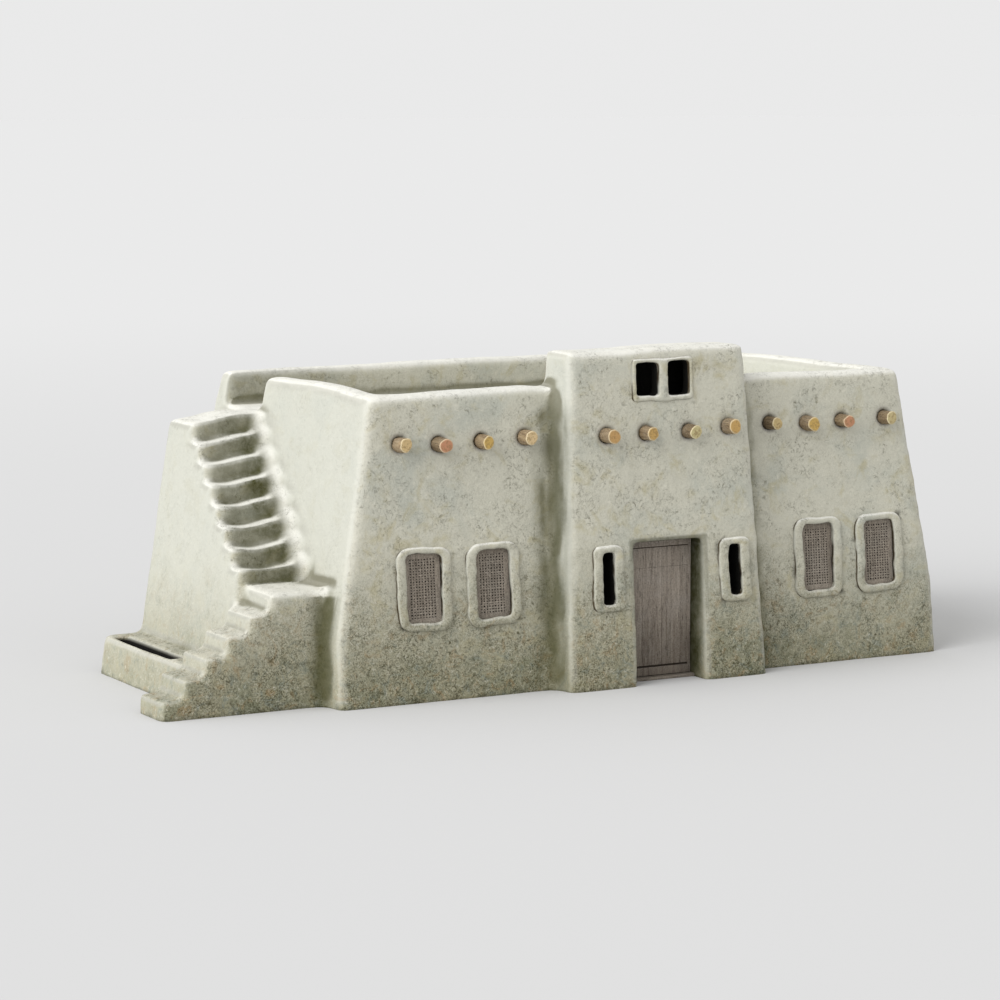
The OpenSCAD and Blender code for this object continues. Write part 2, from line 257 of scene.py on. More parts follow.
def wallPlane(name):
    # the way out of the wall behind a surround, and how far along it the wall's face lies
    bm = cadCopy([name])
    out = faceOut(bm, 1 if name.startswith("rear") else -1)
    foot = min(v.co.dot(out) for v in bm.verts)
    bm.free()
    return out, foot


def triangleCount(mesh):
    return sum(len(face.vertices) - 2 for face in mesh.polygons)


def finishPiece(obj, body, materials, replaced=()):
    for material in materials:
        obj.data.materials.append(material)
    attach(obj, body)
    if replaced:
        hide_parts(*replaced)
    print("piece", obj.name, triangleCount(obj.data), "triangles")


def labelled(first, name):
    # the object's name: a first word and the words of its CAD node, as in bandWindowSurround1
    return first + "".join(word.capitalize() for word in name.split("_"))


# camera, light and studio floor

cameraSet = {
    "azimuth": -28.88, "elevation": 7.13, "distance": 49.23, "target": (-2.82, 0.0, 2.98), "lens": 118.1,
}
lightSet = {
    "keyPower": 2.8, "keyAngle": 55, "keyFrom": (-0.85, -0.15, 0.50),
    "sky": "#FFFFFF", "skyPower": 0.82,
    "floorNear": 0.594, "floorFar": 0.650,  # albedo near the house and at the horizon
    "floorFade": (14, 90), "floorSize": 900,  # m
}


def lookFrom(back):
    return Vector(back).to_track_quat("Z", "Y")


def makeCamera(s):
    a, e = math.radians(s["azimuth"]), math.radians(s["elevation"])
    back = Vector((math.sin(a) * math.cos(e), -math.cos(a) * math.cos(e), math.sin(e)))
    camera = bpy.data.objects.new("camera", bpy.data.cameras.new("camera"))
    camera.data.lens = s["lens"]
    camera.data.clip_end = 3000
    camera.rotation_mode = "QUATERNION"
    camera.rotation_quaternion = lookFrom(back)
    camera.location = Vector(s["target"]) + back * s["distance"]
    scene.collection.objects.link(camera)
    scene.camera = camera


def makeSun(name, power, angle, back):
    light = bpy.data.lights.new(name, "SUN")
    light.energy = power
    light.angle = math.radians(angle)
    lamp = bpy.data.objects.new(name, light)
    lamp.rotation_mode = "QUATERNION"
    lamp.rotation_quaternion = lookFrom(back)
    scene.collection.objects.link(lamp)


def makeSky(s):
    world = bpy.data.worlds.new("studio")
    world.use_nodes = True
    sky = world.node_tree.nodes["Background"]
    sky.inputs["Color"].default_value = hexLinear(s["sky"])
    sky.inputs["Strength"].default_value = s["skyPower"]
    scene.world = world
    scene.view_settings.view_transform = "Standard"


def makeFloor(s):
    bm = bmesh.new()
    bmesh.ops.create_grid(bm, x_segments=1, y_segments=1, size=s["floorSize"])
    obj = meshObject("studioFloor", bm)
    material, tree, place, _ = newMaterial("matt painted floor", {
        "Roughness": 0.9, "Specular IOR Level": 0.0}, {})
    # a little lighter far away, so that the floor runs into the backdrop without a line
    far = addNode(tree, "VectorMath", {"operation": "LENGTH"}, place, out="Value")
    share = addNode(tree, "MapRange", {"interpolation_type": "SMOOTHSTEP"}, far, *s["floorFade"])
    near, away = [(v, v, v, 1) for v in (s["floorNear"], s["floorFar"])]
    finishMaterial(tree, addNode(tree, "Mix", {"data_type": "RGBA", 0: share, 6: near, 7: away}, out=2), [])
    obj.data.materials.append(material)


makeCamera(cameraSet)
makeSun("keyLight", lightSet["keyPower"], lightSet["keyAngle"], lightSet["keyFrom"])
makeSky(lightSet)
makeFloor(lightSet)
print("camera, light and floor ready")

# materials

# settings that many nodes share
smooth = {"interpolation_type": "SMOOTHSTEP"}  # then: source, start, end, value before, value after
product = {"operation": "MULTIPLY"}
total = {"operation": "ADD"}
scaled = {"operation": "MULTIPLY_ADD"}  # then: source, share, what is added

plasterSet = {
    # the tone for the faces turned to the key light is painted light
    "base": "#C2C0B1", "cool": "#B2B4A9", "warm": "#ADA583", "pale": "#D1CEBF", "sunny": "#B9BAB1",
    # the olive tint grows darker and greener towards the ground, and having less of it on faces turned to the
    # key light is painted light
    "dirt": "#7F7B5C", "lowTintTop": 2.6, "lowTintShare": 0.74, "moss": "#6A7058",
    # the dull colour for faces square to the key light is painted shade
    "rosy": "#98835F", "slate": "#7A8279", "grain": "#8A8876", "speck": "#55523D", "glare": "#A3A298",
    # the pale colour for the tops is painted light, and the colour for the hollows is painted shade over dust
    "hollow": "#585539", "edge": "#D8D6CC", "litTops": "#E8E7E1",
    # painted shade: the dark for risers, corners and jambs, the near-black for rooms and openings, and the
    # dark for the rims of logs and bands
    "grime": "#40401F", "soot": "#0E0D09", "stain": "#443A28",
    # size in mm, detail, roughness and warp of each pattern; the real grit is finer than it is drawn here
    "noises": {"wide": (1111, 5, 0.60, 0.4), "middle": (385, 6, 0.62, 0.6), "fine": (111, 8, 0.70, 0.3),
               "grain": (23.8, 6, 0.75, 0.0), "patch": (238, 7, 0.72, 1.1), "patchy": (588, 5, 0.70, 0.8),
               "coarse": (66.7, 7, 0.78, 1.2), "cluster": (476, 5, 0.65, 0.6), "stir": (111, 6, 0.70, 0.0),
               "lumps": (182, 5, 0.60, 0.4)},
    "crackle": 143,  # mm between the crackle marks
}


def makePlaster(s):
    # earth plaster smoothed by hand: matt and pale, patchy, dirty at the foot, with grit and crackle
    material, tree, place, noises = newMaterial("hand-smoothed mud plaster", {"Specular IOR Level": 0.2},
                                                s["noises"])
    facing = addNode(tree, "SeparateXYZ", {}, addNode(tree, "NewGeometry", {}, out="Normal")).node.outputs
    spot = addNode(tree, "SeparateXYZ", {}, place).node.outputs
    layers = []
    # wide cool and warm areas over the base, as the plaster was laid on in patches
    for name, pattern, start, end, share in (("cool", "wide", 0.48, 0.70, 0.8),
                                             ("warm", "middle", 0.50, 0.70, 0.6),
                                             ("pale", "fine", 0.52, 0.72, 0.6)):
        laid = addNode(tree, "MapRange", smooth, noises[pattern], start, end, 0.0, share)
        layers.append(("MIX", laid, s[name]))
    # faces that look up are painted paler, more so higher up: painted light on the tops and crests
    upward = addNode(tree, "MapRange", smooth, facing["Z"], 0.20, 0.75, 0.0, 0.75)
    lofty = addNode(tree, "MapRange", smooth, spot["Z"], 0.4, 2.4, 0.45, 1.0)
    litTops = addNode(tree, "Math", product, upward, lofty)
    layers.append(("MIX", litTops, s["litTops"]))
    # darker and greener towards the ground, weaker on the right wing, and weaker on the faces turned to the
    # key light on the left, which is painted light
    ragged = addNode(tree, "Math", scaled, noises["middle"], 2.0, spot["Z"])
    rightWing = addNode(tree, "MapRange", smooth, spot["X"], 1.2, 3.0, -1.0, -0.75)
    ragged = addNode(tree, "Math", total, ragged, rightWing)
    awayFromKeyLight = addNode(tree, "MapRange", smooth, facing["X"], -0.3, -0.9, 1.0, 0.75)
    low = addNode(tree, "MapRange", smooth, ragged, s["lowTintTop"], -0.1)
    low = addNode(tree, "Math", product, low, awayFromKeyLight)
    low = addNode(tree, "Math", product, low, addNode(tree, "Math", scaled, litTops, -0.9, 1.0))
    layers.append(("MIX", addNode(tree, "Math", product, low, s["lowTintShare"]), s["dirt"]))
    foot = addNode(tree, "MapRange", smooth, ragged, 0.9, -0.3, 0.0, 0.5)
    damp = addNode(tree, "MapRange", smooth, noises["wide"], 0.40, 0.62)
    moss = addNode(tree, "Math", product, addNode(tree, "Math", product, foot, damp), awayFromKeyLight)
    layers.append(("MIX", moss, s["moss"]))
    for name, start, end in (("rosy", 0.53, 0.64), ("slate", 0.47, 0.37)):
        blotch = addNode(tree, "MapRange", smooth, noises["patch"], start, end, 0.0, 0.65)
        layers.append(("MIX", addNode(tree, "Math", product, blotch, low), s[name]))
    # painted light: the left faces, turned to the key light, take a tone of their own
    sunny = addNode(tree, "MapRange", smooth, facing["X"], -0.45, -0.90, 0.0, 0.75)
    clean = addNode(tree, "Math", scaled, low, -1.2, 1.0)
    layers.append(("MIX", addNode(tree, "Math", product, sunny, clean), s["sunny"]))
    # painted shade: faces turned square to the key light are made duller, to hold back their highlight
    facingKey = addNode(tree, "Math", product, facing["Z"], 0.5)
    facingKey = addNode(tree, "Math", scaled, facing["X"], -0.85, facingKey)
    layers.append(("MIX", addNode(tree, "MapRange", smooth, facingKey, 0.93, 0.99, 0.0, 0.70), s["glare"]))
    # grit that shows as fine dark and light grain, faded on the faces turned to the key light, which is
    # painted light
    calm = addNode(tree, "Math", scaled, sunny, -1.0, 1.0)
    gritty = addNode(tree, "Math", product, addNode(tree, "MapRange", smooth, noises["grain"], 0.46, 0.60),
                     addNode(tree, "Math", scaled, low, 0.60, 0.14))
    patchy = addNode(tree, "MapRange", smooth, noises["patchy"], 0.36, 0.64, 0.45, 1.45)
    gritty = addNode(tree, "Math", product, addNode(tree, "Math", product, gritty, patchy), calm)
    layers.append(("MULTIPLY", gritty, s["grain"]))
    light = addNode(tree, "Math", product, addNode(tree, "MapRange", smooth, noises["coarse"], 0.52, 0.70),
                    addNode(tree, "Math", scaled, low, 0.40, 0.25))
    layers.append(("MIX", light, s["pale"]))
    # clusters of dark flecks, and short crackle marks where the skin has dried and split, both faded on the
    # faces turned to the key light, painted light as well
    cluster = addNode(tree, "MapRange", smooth, noises["cluster"], 0.42, 0.60)
    amount = addNode(tree, "Math", scaled, low, 0.50, addNode(tree, "Math", scaled, cluster, 0.48, 0.08))
    speck = addNode(tree, "MapRange", smooth, noises["coarse"], 0.46, 0.36)
    speck = addNode(tree, "Math", product, speck, amount)
    sway = noises["stir"].node.outputs["Color"]
    bent = addNode(tree, "VectorMath", scaled, sway, (0.30, 0.30, 0.30), place)
    cells = addNode(tree, "TexVoronoi", {"feature": "DISTANCE_TO_EDGE", "Scale": 1000 / s["crackle"],
                                         "Vector": bent}, out="Distance")
    crackle = addNode(tree, "Math", product, addNode(tree, "MapRange", smooth, cells, 0.045, 0.0),
                      addNode(tree, "MapRange", smooth, noises["coarse"], 0.53, 0.45))
    crackle = addNode(tree, "Math", product, crackle, addNode(tree, "Math", scaled, cluster, 0.42, 0.04))
    marks = addNode(tree, "Math", product, addNode(tree, "Math", {"operation": "MAXIMUM"}, speck, crackle),
                    addNode(tree, "Math", total, calm, 0.05))
    layers.append(("MIX", marks, s["speck"]))
    # hollows hold dust and painted shade, worn edges are a little pale
    wear = addNode(tree, "Attribute", {"attribute_name": "wear"}, out="Fac")
    for name, start, end, share in (("hollow", 0.01, 0.20, 0.70), ("edge", -0.08, -0.35, 0.22)):
        layers.append(("MIX", addNode(tree, "MapRange", smooth, wear, start, end, 0.0, share), s[name]))
    # painted shade on the risers, corners and jambs, painted shade round the logs, and painted darkness
    # inside the rooms and openings
    blotchy = addNode(tree, "Math", scaled, noises["fine"], 0.8, 0.55)
    for name, share in (("grime", blotchy), ("stain", addNode(tree, "Math", product, blotchy, 0.7)),
                        ("soot", 1.0)):
        amount = addNode(tree, "Attribute", {"attribute_name": name}, out="Fac")
        layers.append(("MIX", addNode(tree, "Math", product, amount, share), s[name]))
    # relief: trowel lumps, straw and grit, and pits where the specks are
    pitted = addNode(tree, "Math", scaled, marks, -1.6, noises["grain"])
    finishMaterial(tree, layered(tree, hexLinear(s["base"]), layers),
                   [(noises["lumps"], 0.6, 0.030), (noises["fine"], 0.65, 0.018), (pitted, 0.60, 0.007)],
                   addNode(tree, "Math", scaled, noises["fine"], 0.25, 0.80))
    return material


def makeEarth():
    # trodden floor earth: dull, brown and dusty
    material, tree, _, noises = newMaterial("trodden floor earth", {"Roughness": 0.95}, {
        "wide": (769, 6, 0.60, 0.4), "fine": (45.5, 6, 0.70, 0.0)})
    colour = layered(tree, hexLinear("#5E523E"), [
        ("MIX", addNode(tree, "MapRange", smooth, noises["wide"], 0.35, 0.7), "#7A6D54"),
        ("MIX", addNode(tree, "MapRange", smooth, noises["fine"], 0.5, 0.75), "#8E8268")])
    finishMaterial(tree, colour, [(noises["wide"], 0.5, 0.03), (noises["fine"], 0.6, 0.008)])
    return material


def makeWood(name, pale, dark, grey, along, splashed=0.0):
    # weathered wood with its grain along one axis: pale summer wood, dark cracks and grey weather
    squeeze = tuple(0.06 if k == along else 1.0 for k in range(3))
    material, tree, place, noises = newMaterial(name, {"Roughness": 0.85, "Specular IOR Level": 0.25}, {
        "grain": (10.53, 6, 0.65, 0.3, squeeze), "bands": (55.6, 4, 0.60, 0.6, squeeze),
        "wide": (455, 5, 0.60, 0.0), "fibre": (13.33, 5, 0.75, 0.5)})
    tone = addNode(tree, "Attribute", {"attribute_name": "tone"}, out="Fac")
    layers = [("MIX", "bands", 0.35, 0.70, 1.0, dark), ("MIX", "wide", 0.4, 0.7, 0.7, grey),
              ("MULTIPLY", "grain", 0.53, 0.68, 0.85, "#5A5148"),
              ("MULTIPLY", "fibre", 0.50, 0.60, 0.50, "#8A8178"),
              ("MIX", "fibre", 0.47, 0.38, 0.45, "#B9B1A6")]
    layers = [(blend, addNode(tree, "MapRange", smooth, noises[pattern], start, end, 0.0, share), code)
              for blend, pattern, start, end, share, code in layers]
    layers.append(("MULTIPLY", addNode(tree, "Math", product, tone, 0.5), "#6D655C"))
    if splashed:
        height = addNode(tree, "SeparateXYZ", {}, place, out="Z")
        splash = addNode(tree, "Math", scaled, noises["wide"], 0.9, height)
        foot = addNode(tree, "MapRange", smooth, splash, 1.9, 0.5, 0.0, splashed)
        layers.append(("MULTIPLY", foot, "#8A857E"))
    finishMaterial(tree, layered(tree, hexLinear(pale), layers),
                   [(noises["bands"], 0.35, 0.008), (noises["grain"], 0.55, 0.004)])
    return material


def makeEndGrain():
    # sawn log ends: cream, ochre, salmon and tan, with rings, drying cracks and a pale rim
    material, tree, _, noises = newMaterial(
        "sawn log end", {"Roughness": 0.8, "Specular IOR Level": 0.25}, {"mottle": (38.5, 5, 0.65, 0.5)})
    tone = addNode(tree, "Attribute", {"attribute_name": "tone"}, out="Fac")
    rim = addNode(tree, "Attribute", {"attribute_name": "rim"}, out="Fac")
    kinds = addNode(tree, "ValToRGB", {}, tone)
    stops = [(0.0, "#CDB68C"), (0.2, "#C2A35E"), (0.4, "#BA9663"), (0.6, "#BB8869"), (0.8, "#BEB487"),
             (1.0, "#B8A072")]
    elements = kinds.node.color_ramp.elements
    for k, (stop, code) in enumerate(stops):
        element = elements.new(stop) if 0 < stop < 1 else elements[-1 if k else 0]
        element.color = hexLinear(code)
    drawn = addNode(tree, "Math", scaled, noises["mottle"], 0.10, rim)
    rings = addNode(tree, "Math", {"operation": "SINE"}, addNode(tree, "Math", product, drawn, 55.0))
    layers = [("MULTIPLY", rings, 0.1, 1.0, 0.35, "#A98C66"),
              ("MIX", noises["mottle"], 0.46, 0.64, 0.7, "#836C48"), ("MIX", rim, 0.74, 0.92, 0.5, "#E0D5B6")]
    layers = [(blend, addNode(tree, "MapRange", smooth, source, start, end, 0.0, share), code)
              for blend, source, start, end, share, code in layers]
    finishMaterial(tree, layered(tree, kinds, layers), [(noises["mottle"], 0.5, 0.006), (rings, 0.15, 0.002)])
    return material


def makeIron():
    # black iron from the forge: dark, dull, and brown where it has rusted
    material, tree, _, noises = newMaterial("forged black iron", {"Metallic": 0.7, "Roughness": 0.6}, {
        "rust": (33.3, 6, 0.65, 0.0)})
    rusty = addNode(tree, "MapRange", smooth, noises["rust"], 0.5, 0.68)
    finishMaterial(tree, layered(tree, hexLinear("#2B2724"), [("MIX", rusty, "#5E3B26")]),
                   [(noises["rust"], 0.4, 0.003)], addNode(tree, "Math", scaled, noises["rust"], 0.5, 0.35))
    return material


def makeCane():
    # split canes laid side by side over the logs, about 20 mm apart
    material, tree, place, noises = newMaterial("smoked split cane", {"Roughness": 0.7}, {
        "drawn": (25, 4, 0.55, 0.0, (1.0, 0.06, 1.0))})
    canes = addNode(tree, "TexWave", {"wave_type": "BANDS", "bands_direction": "X", "Scale": 16.0,
                                      "Distortion": 0.6, "Detail": 2.0}, place, out="Fac")
    colour = layered(tree, hexLinear("#6B5434"), [
        ("MIX", addNode(tree, "MapRange", smooth, noises["drawn"], 0.35, 0.65), "#8D7347"),
        ("MULTIPLY", addNode(tree, "MapRange", smooth, canes, 0.35, 0.0), "#3A2E20")])
    finishMaterial(tree, colour, [(canes, 0.9, 0.012)])
    return material


plaster = makePlaster(plasterSet)
earth = makeEarth()
doorWood = makeWood("weathered door boards", "#A49A8E", "#877C71", "#999289", 2, 0.60)
sillWood = makeWood("worn threshold timber", "#A0978A", "#857B70", "#98928A", 0)
latticeWood = makeWood("grey lattice wood", "#9C9285", "#81786C", "#928B80", 2)
logBark = makeWood("peeled log side", "#A28D6C", "#7B674C", "#958670", 1)
logEnd = makeEndGrain()
iron = makeIron()
cane = makeCane()
print("materials ready")

# mud plaster coat: walls, tower, stair, bench and roof under one hand-smoothed coat

coatSet = {
    "voxel": 0.036,  # m, the size of the coat's mesh
    "foot": 0.24,  # m, how far the coat is carried below ground before it is cut level
    "softPasses": 34,  # rounds the corners of the walls by about 0.1 m
    "filletPasses": 70, "filletReach": 0.30,  # wide hollows beside the tower and the landing
    "crispPasses": 3,  # takes only the sharpness off everywhere
    "crisp": 0.06, "stairCrisp": 0.26,  # share of the softening at openings and on the steps
    "wave": 0.014, "waveLength": 0.85,  # m, hand-made unevenness
    "dent": 0.005, "dentLength": 0.22,
    "treadDip": 0.095,  # m, how far the upper treads are worn down
    "upperSteps": 8, "tread": 0.345,  # the upper flight's risers, and the depth of a tread in metres
    "stairLean": 0.650, "endLean": 0.660,  # m, lean of the stair's outer face and of the house's left end
    "logDark": 0.07,  # m, width of the ring of painted shade round a log
    "crestFrom": (4.15, 4.45), "towerCrestFrom": (4.98, 5.08),  # m, where a crest's lift sets in and is full
    "crestReach": 0.9,  # m, how far one place of the crest list carries
    "triangles": 194000,  # how many the finished coat keeps
}
coatNodes = ["front_wall_left", "front_wall_right", "end_wall_left", "end_wall_right", "back_wall",
             "porch_pier_left", "porch_pier_right", "porch_wall_over_door", "porch_side_left",
             "porch_side_right", "porch_head_back", "porch_head_cap", "roof_mud",
             "stair_lower", "stair_landing", "stair_upper", "bench"]
# how much the crest of the parapets rises or sinks at places along it: x, y, rise in metres
crestSet = [(-4.7, 0.5, -0.02), (-3.2, 0.5, 0.01), (-1.9, 0.5, 0.05), (-1.5, 0.1, 0.0), (0.7, 0.1, 0.07),
            (1.5, 0.1, 0.04), (2.2, 0.5, 0.04), (4.6, 0.5, 0.03), (-4.8, 2.2, 0.06), (-4.8, 3.6, 0.02),
            (-4.8, 5.8, 0.0), (0.0, 5.8, 0.03), (4.6, 5.8, -0.02), (4.8, 3.0, 0.02)]
# how far each log's head sits from its straight line: rise and shift in metres, and its thickness
logSet = {
    "vigas_left": [(0.02, 0.00, 0.98), (-0.02, 0.03, 1.04), (-0.01, 0.00, 0.93), (0.02, 0.01, 1.02)],
    "vigas_porch": [(0.02, 0.00, 1.05), (0.03, -0.01, 0.94), (0.02, 0.01, 0.98), (0.07, 0.00, 1.04)],
    "vigas_right": [(0.02, 0.00, 0.90), (-0.02, 0.02, 1.06), (-0.01, -0.01, 1.00), (0.01, 0.00, 0.97)],
}
ringNodes = ["window_surround_1", "window_surround_2", "window_surround_3", "window_surround_4",
             "rear_surround_left", "rear_surround_right", "slot_surround_left", "slot_surround_right",
             "head_surround"]
wallBox = {name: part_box(name) for name in nodes}
logBoxes = {name: looseBoxes(name) for name in logSet}


def frontLogs():
    # the head of every log at the front: its middle, its radius and how far it is set off
    found = []
    for name, offs in logSet.items():
        heads = [pair for pair in logBoxes[name] if pair[0].y < 0.5]
        for (low, high), (rise, shift, _) in zip(heads, offs):
            middle = (low + high) / 2
            found.append((middle.x, middle.z, middle.x - low.x, rise, shift))
    return found


def roomBoxes():
    # the hollow rooms: inside the wings, behind the door and in the tower's head
    low, high = wallBox["roof_mat"]
    floorTop = wallBox["floor"][1].z
    hallLow, hallHigh = wallBox["porch_wall_over_door"]
    backLow, backHigh = wallBox["porch_head_back"]
    roomLow = (low.x, wallBox["front_wall_left"][1].y, floorTop)
    return [(roomLow, (high.x, high.y, low.z)),
            ((hallLow.x, low.y, floorTop), (hallHigh.x, roomLow[1], low.z)),
            ((backLow.x, low.y, backLow.z), (backHigh.x, backLow.y, backHigh.z))]


def acrossStair(co):
    # 0 at the outer edge of the upper flight, 1 at the house's end wall, and the width between
    low, high = wallBox["stair_upper"]
    edge = low.x + coatSet["stairLean"] * co[:, 2] / high.z
    wall = high.x - coatSet["endLean"] * (high.z - co[:, 2]) / (wallBox["end_wall_left"][1].z - 1.1)
    return (co[:, 0] - edge) / (wall - edge), wall - edge


def awayFromTower(co, side):
    # how far each point lies from the leaning corner of the tower and a wing
    corner = wallBox["porch_side_left"][0] if side < 0 else wallBox["porch_side_right"][1]
    cap = wallBox["porch_head_cap"][0] if side < 0 else wallBox["porch_head_cap"][1]
    rise = co[:, 2] / wallBox["porch_head_cap"][1].z
    lean = 0.4 * co[:, 2] / wallBox["front_wall_left"][1].z
    return np.hypot(co[:, 0] - corner.x - (cap.x - corner.x) * rise, co[:, 1] - lean)


def awayFromLanding(co):
    # how far each point lies from the upright corner of the landing and the house's end
    return np.hypot(co[:, 0] - wallBox["end_wall_left"][0].x, co[:, 1] - wallBox["stair_landing"][0].y - 0.03)


def filletSoftness(co, s):
    # 1 along the inner corners that are filled with a wide hollow of mud
    soft = np.zeros(len(co))
    for side in (-1, 1):
        soft = np.maximum(soft, 1 - step(awayFromTower(co, side), 0.12, s["filletReach"]))
    soft *= 1 - step(co[:, 2], wallBox["roof_mud"][1].z + 0.10, wallBox["front_wall_left"][1].z - 0.10)
    corner = 1 - step(awayFromLanding(co), 0.14, s["filletReach"] + 0.06)
    landingTop = wallBox["stair_landing"][1].z
    soft = np.maximum(soft, corner * (1 - step(co[:, 2], landingTop - 0.05, landingTop + 0.14)))
    # the wall's foot along the upper flight, where the steps run into it
    low, high = wallBox["stair_upper"]
    across, span = acrossStair(co)
    foot = (1 - step(np.abs(1 - across) * span, 0.12, 0.32)) * (co[:, 1] > low.y - 0.1) * (co[:, 1] < high.y)
    foot *= (co[:, 2] > landingTop - 0.1) * (co[:, 2] < high.z)
    return np.maximum(soft, 0.8 * foot)


def coatSoftness(co, s):
    soft = np.ones(len(co))
    tight = ["door_leaf", "slot_surround_left", "slot_surround_right", "head_surround", "window_lattice_1",
             "window_lattice_2", "window_lattice_3", "window_lattice_4", "rear_lattice_left",
             "rear_lattice_right"]
    for name in tight:
        low, high = wallBox[name]
        reach = Vector((0.03, 0.45, 0.02 if name == "head_surround" else 0.06))
        soft = np.minimum(soft, s["crisp"] + outside(co, low - reach, high + reach) / 0.10)
    for x, z, r, *_ in frontLogs():
        away = np.hypot(co[:, 0] - x, co[:, 2] - z)
        soft = np.minimum(soft, s["crisp"] + np.maximum(away - r - 0.05, 0) / 0.12)
    across, span = acrossStair(co)
    rim = np.minimum(across * span, (1 - across) * span - 0.10)
    low, high = wallBox["stair_upper"]
    steps = s["stairCrisp"] + np.clip((0.20 - rim) / 0.12, 0, 1)
    soft = np.minimum(soft, steps + outside(co, low, high + Vector((0.5, 0, 0))) / 0.16)
    low, high = wallBox["stair_lower"]
    soft = np.minimum(soft, 0.60 + outside(co, low - Vector((0.05, 0, 0)), high) / 0.30)
    low, high = wallBox["bench"]
    soft = np.minimum(soft, 0.35 + outside(co, low + Vector((0.1, 0.1, 0.1)), high) / 0.15)
    return np.clip(soft, 0, 1)


def treadWear(co, s):
    # the upper treads are worn down towards their outer side
    low, high = wallBox["stair_upper"]
    across = (co[:, 0] - low.x) / (high.x - low.x)
    on = step(co[:, 1], low.y - 0.1, low.y + 0.2) * step(co[:, 2], 1.5, 1.9) * (co[:, 0] < high.x)
    dip = np.exp(-((across - 0.42) / 0.22) ** 2)
    return -s["treadDip"] * dip * on


def mudAlongWall(co, s):
    # fills the steps up to the line of their noses beside the house's end wall
    low, high = wallBox["stair_upper"]
    landingTop = wallBox["stair_landing"][1].z
    rise = (high.z - landingTop) / s["upperSteps"]
    noses = np.minimum(landingTop + rise * (1 + (co[:, 1] - low.y) / s["tread"]), high.z)
    across, span = acrossStair(co)
    gap = noses - co[:, 2]
    on = (co[:, 1] > low.y - 0.02) * (co[:, 1] < high.y) * (gap > 0) * (gap < rise + 0.08)
    return gap * on * (1 - step((1 - across) * span, 0.06, 0.26)) * 0.75


def cutAtGround(obj):
    # takes off what lies below ground and closes the coat with a flat face
    bm = bmesh.new()
    bm.from_mesh(obj.data)
    everything = bm.verts[:] + bm.edges[:] + bm.faces[:]
    cut = bmesh.ops.bisect_plane(bm, geom=everything, dist=1e-5, plane_co=(0, 0, 0), plane_no=(0, 0, 1),
                                 clear_inner=True)
    rim = [e for e in cut["geom_cut"] if isinstance(e, bmesh.types.BMEdge) and e.is_boundary]
    bmesh.ops.triangle_fill(bm, edges=rim, use_beauty=True)
    bmesh.ops.recalc_face_normals(bm, faces=bm.faces)
    bm.to_mesh(obj.data)
    bm.free()


def makeCoat(s):
    bm = cadCopy(coatNodes)
    for v in bm.verts:
        if v.co.z < 0.001:
            v.co.z = -s["foot"]
    obj = meshObject("plasterCoat", bm)
    remeshed(obj, s["voxel"])
    mesh = obj.data
    co = points(mesh)
    co[:, 2] += mudAlongWall(co, s)
    co = relaxed(mesh, co, coatSoftness(co, s), s["softPasses"])
    co = relaxed(mesh, co, filletSoftness(co, s), s["filletPasses"])
    co = relaxed(mesh, co, np.ones(len(co)), s["crispPasses"])
    # the holes follow the crooked heads of their logs
    for x, z, _, rise, shift in frontLogs():
        near = np.exp(-((co[:, 0] - x) ** 2 + (co[:, 2] - z) ** 2) / 0.16 ** 2) * (co[:, 1] < 1.0)
        co += near[:, None] * np.array([shift, 0, rise])
    # the crest of the parapets rises and sinks
    crest = np.array(crestSet)
    away = np.hypot(co[:, 0, None] - crest[:, 0], co[:, 1, None] - crest[:, 1])
    weights = np.exp(-(away / s["crestReach"]) ** 2)
    lift = weights @ crest[:, 2] / (weights.sum(axis=1) + 0.05)
    capLow, capHigh = wallBox["porch_head_cap"]
    towerHigh = (capHigh.x, wallBox["porch_head_back"][1].y, 9.0)
    wing = step(outside(co, (capLow.x, -1.0, 0.0), towerHigh), 0.05, 0.55)
    high = step(co[:, 2], *s["towerCrestFrom"]) * (1 - wing) + step(co[:, 2], *s["crestFrom"]) * wing
    co[:, 2] += lift * high
    co[:, 2] += treadWear(co, s)
    setPoints(mesh, co)
    # hand-made unevenness, less of it where the door swings
    doorLow, doorHigh = wallBox["door_leaf"]
    away = outside(co, doorLow - Vector((0.1, 0.3, 0.1)), doorHigh + Vector((0.1, 0.1, 0.1)))
    wave = s["wave"] * noiseAt(co, s["waveLength"]) + s["dent"] * noiseAt(co, s["dentLength"], 31.7)
    setPoints(mesh, co + normals(mesh) * (wave * (0.06 + 0.94 * np.clip(away / 0.3, 0, 1)))[:, None])
    cutAtGround(obj)
    thinned(obj, s["triangles"] / triangleCount(obj.data))
    return obj


def openingDepth(co, name, margin):
    # how deep each point lies behind the wall's face, for points inside a surround's outline
    out, foot = wallPlane(name)
    reach = 0.40 if name == "head_surround" else 0.95
    low, high = wallBox[name]
    deep = foot - co @ np.array(out)
    within = (co[:, 0] > low.x + margin) & (co[:, 0] < high.x - margin) & (deep < reach)
    within &= (co[:, 2] > low.z + margin) & (co[:, 2] < high.z - margin)
    return np.where(within, deep, -1.0)


def doorShade(co, reach):
    # 1 on the jambs and the head of the doorway beside the leaf, fading over a reach in metres
    low, high = wallBox["door_leaf"]
    away = outside(co, (low.x - 0.10, -0.6, 0), (high.x + 0.10, 0.3, high.z + 0.10))
    return (away < 0.001) * step(co[:, 1], low.y - reach, low.y - 0.30 * reach)


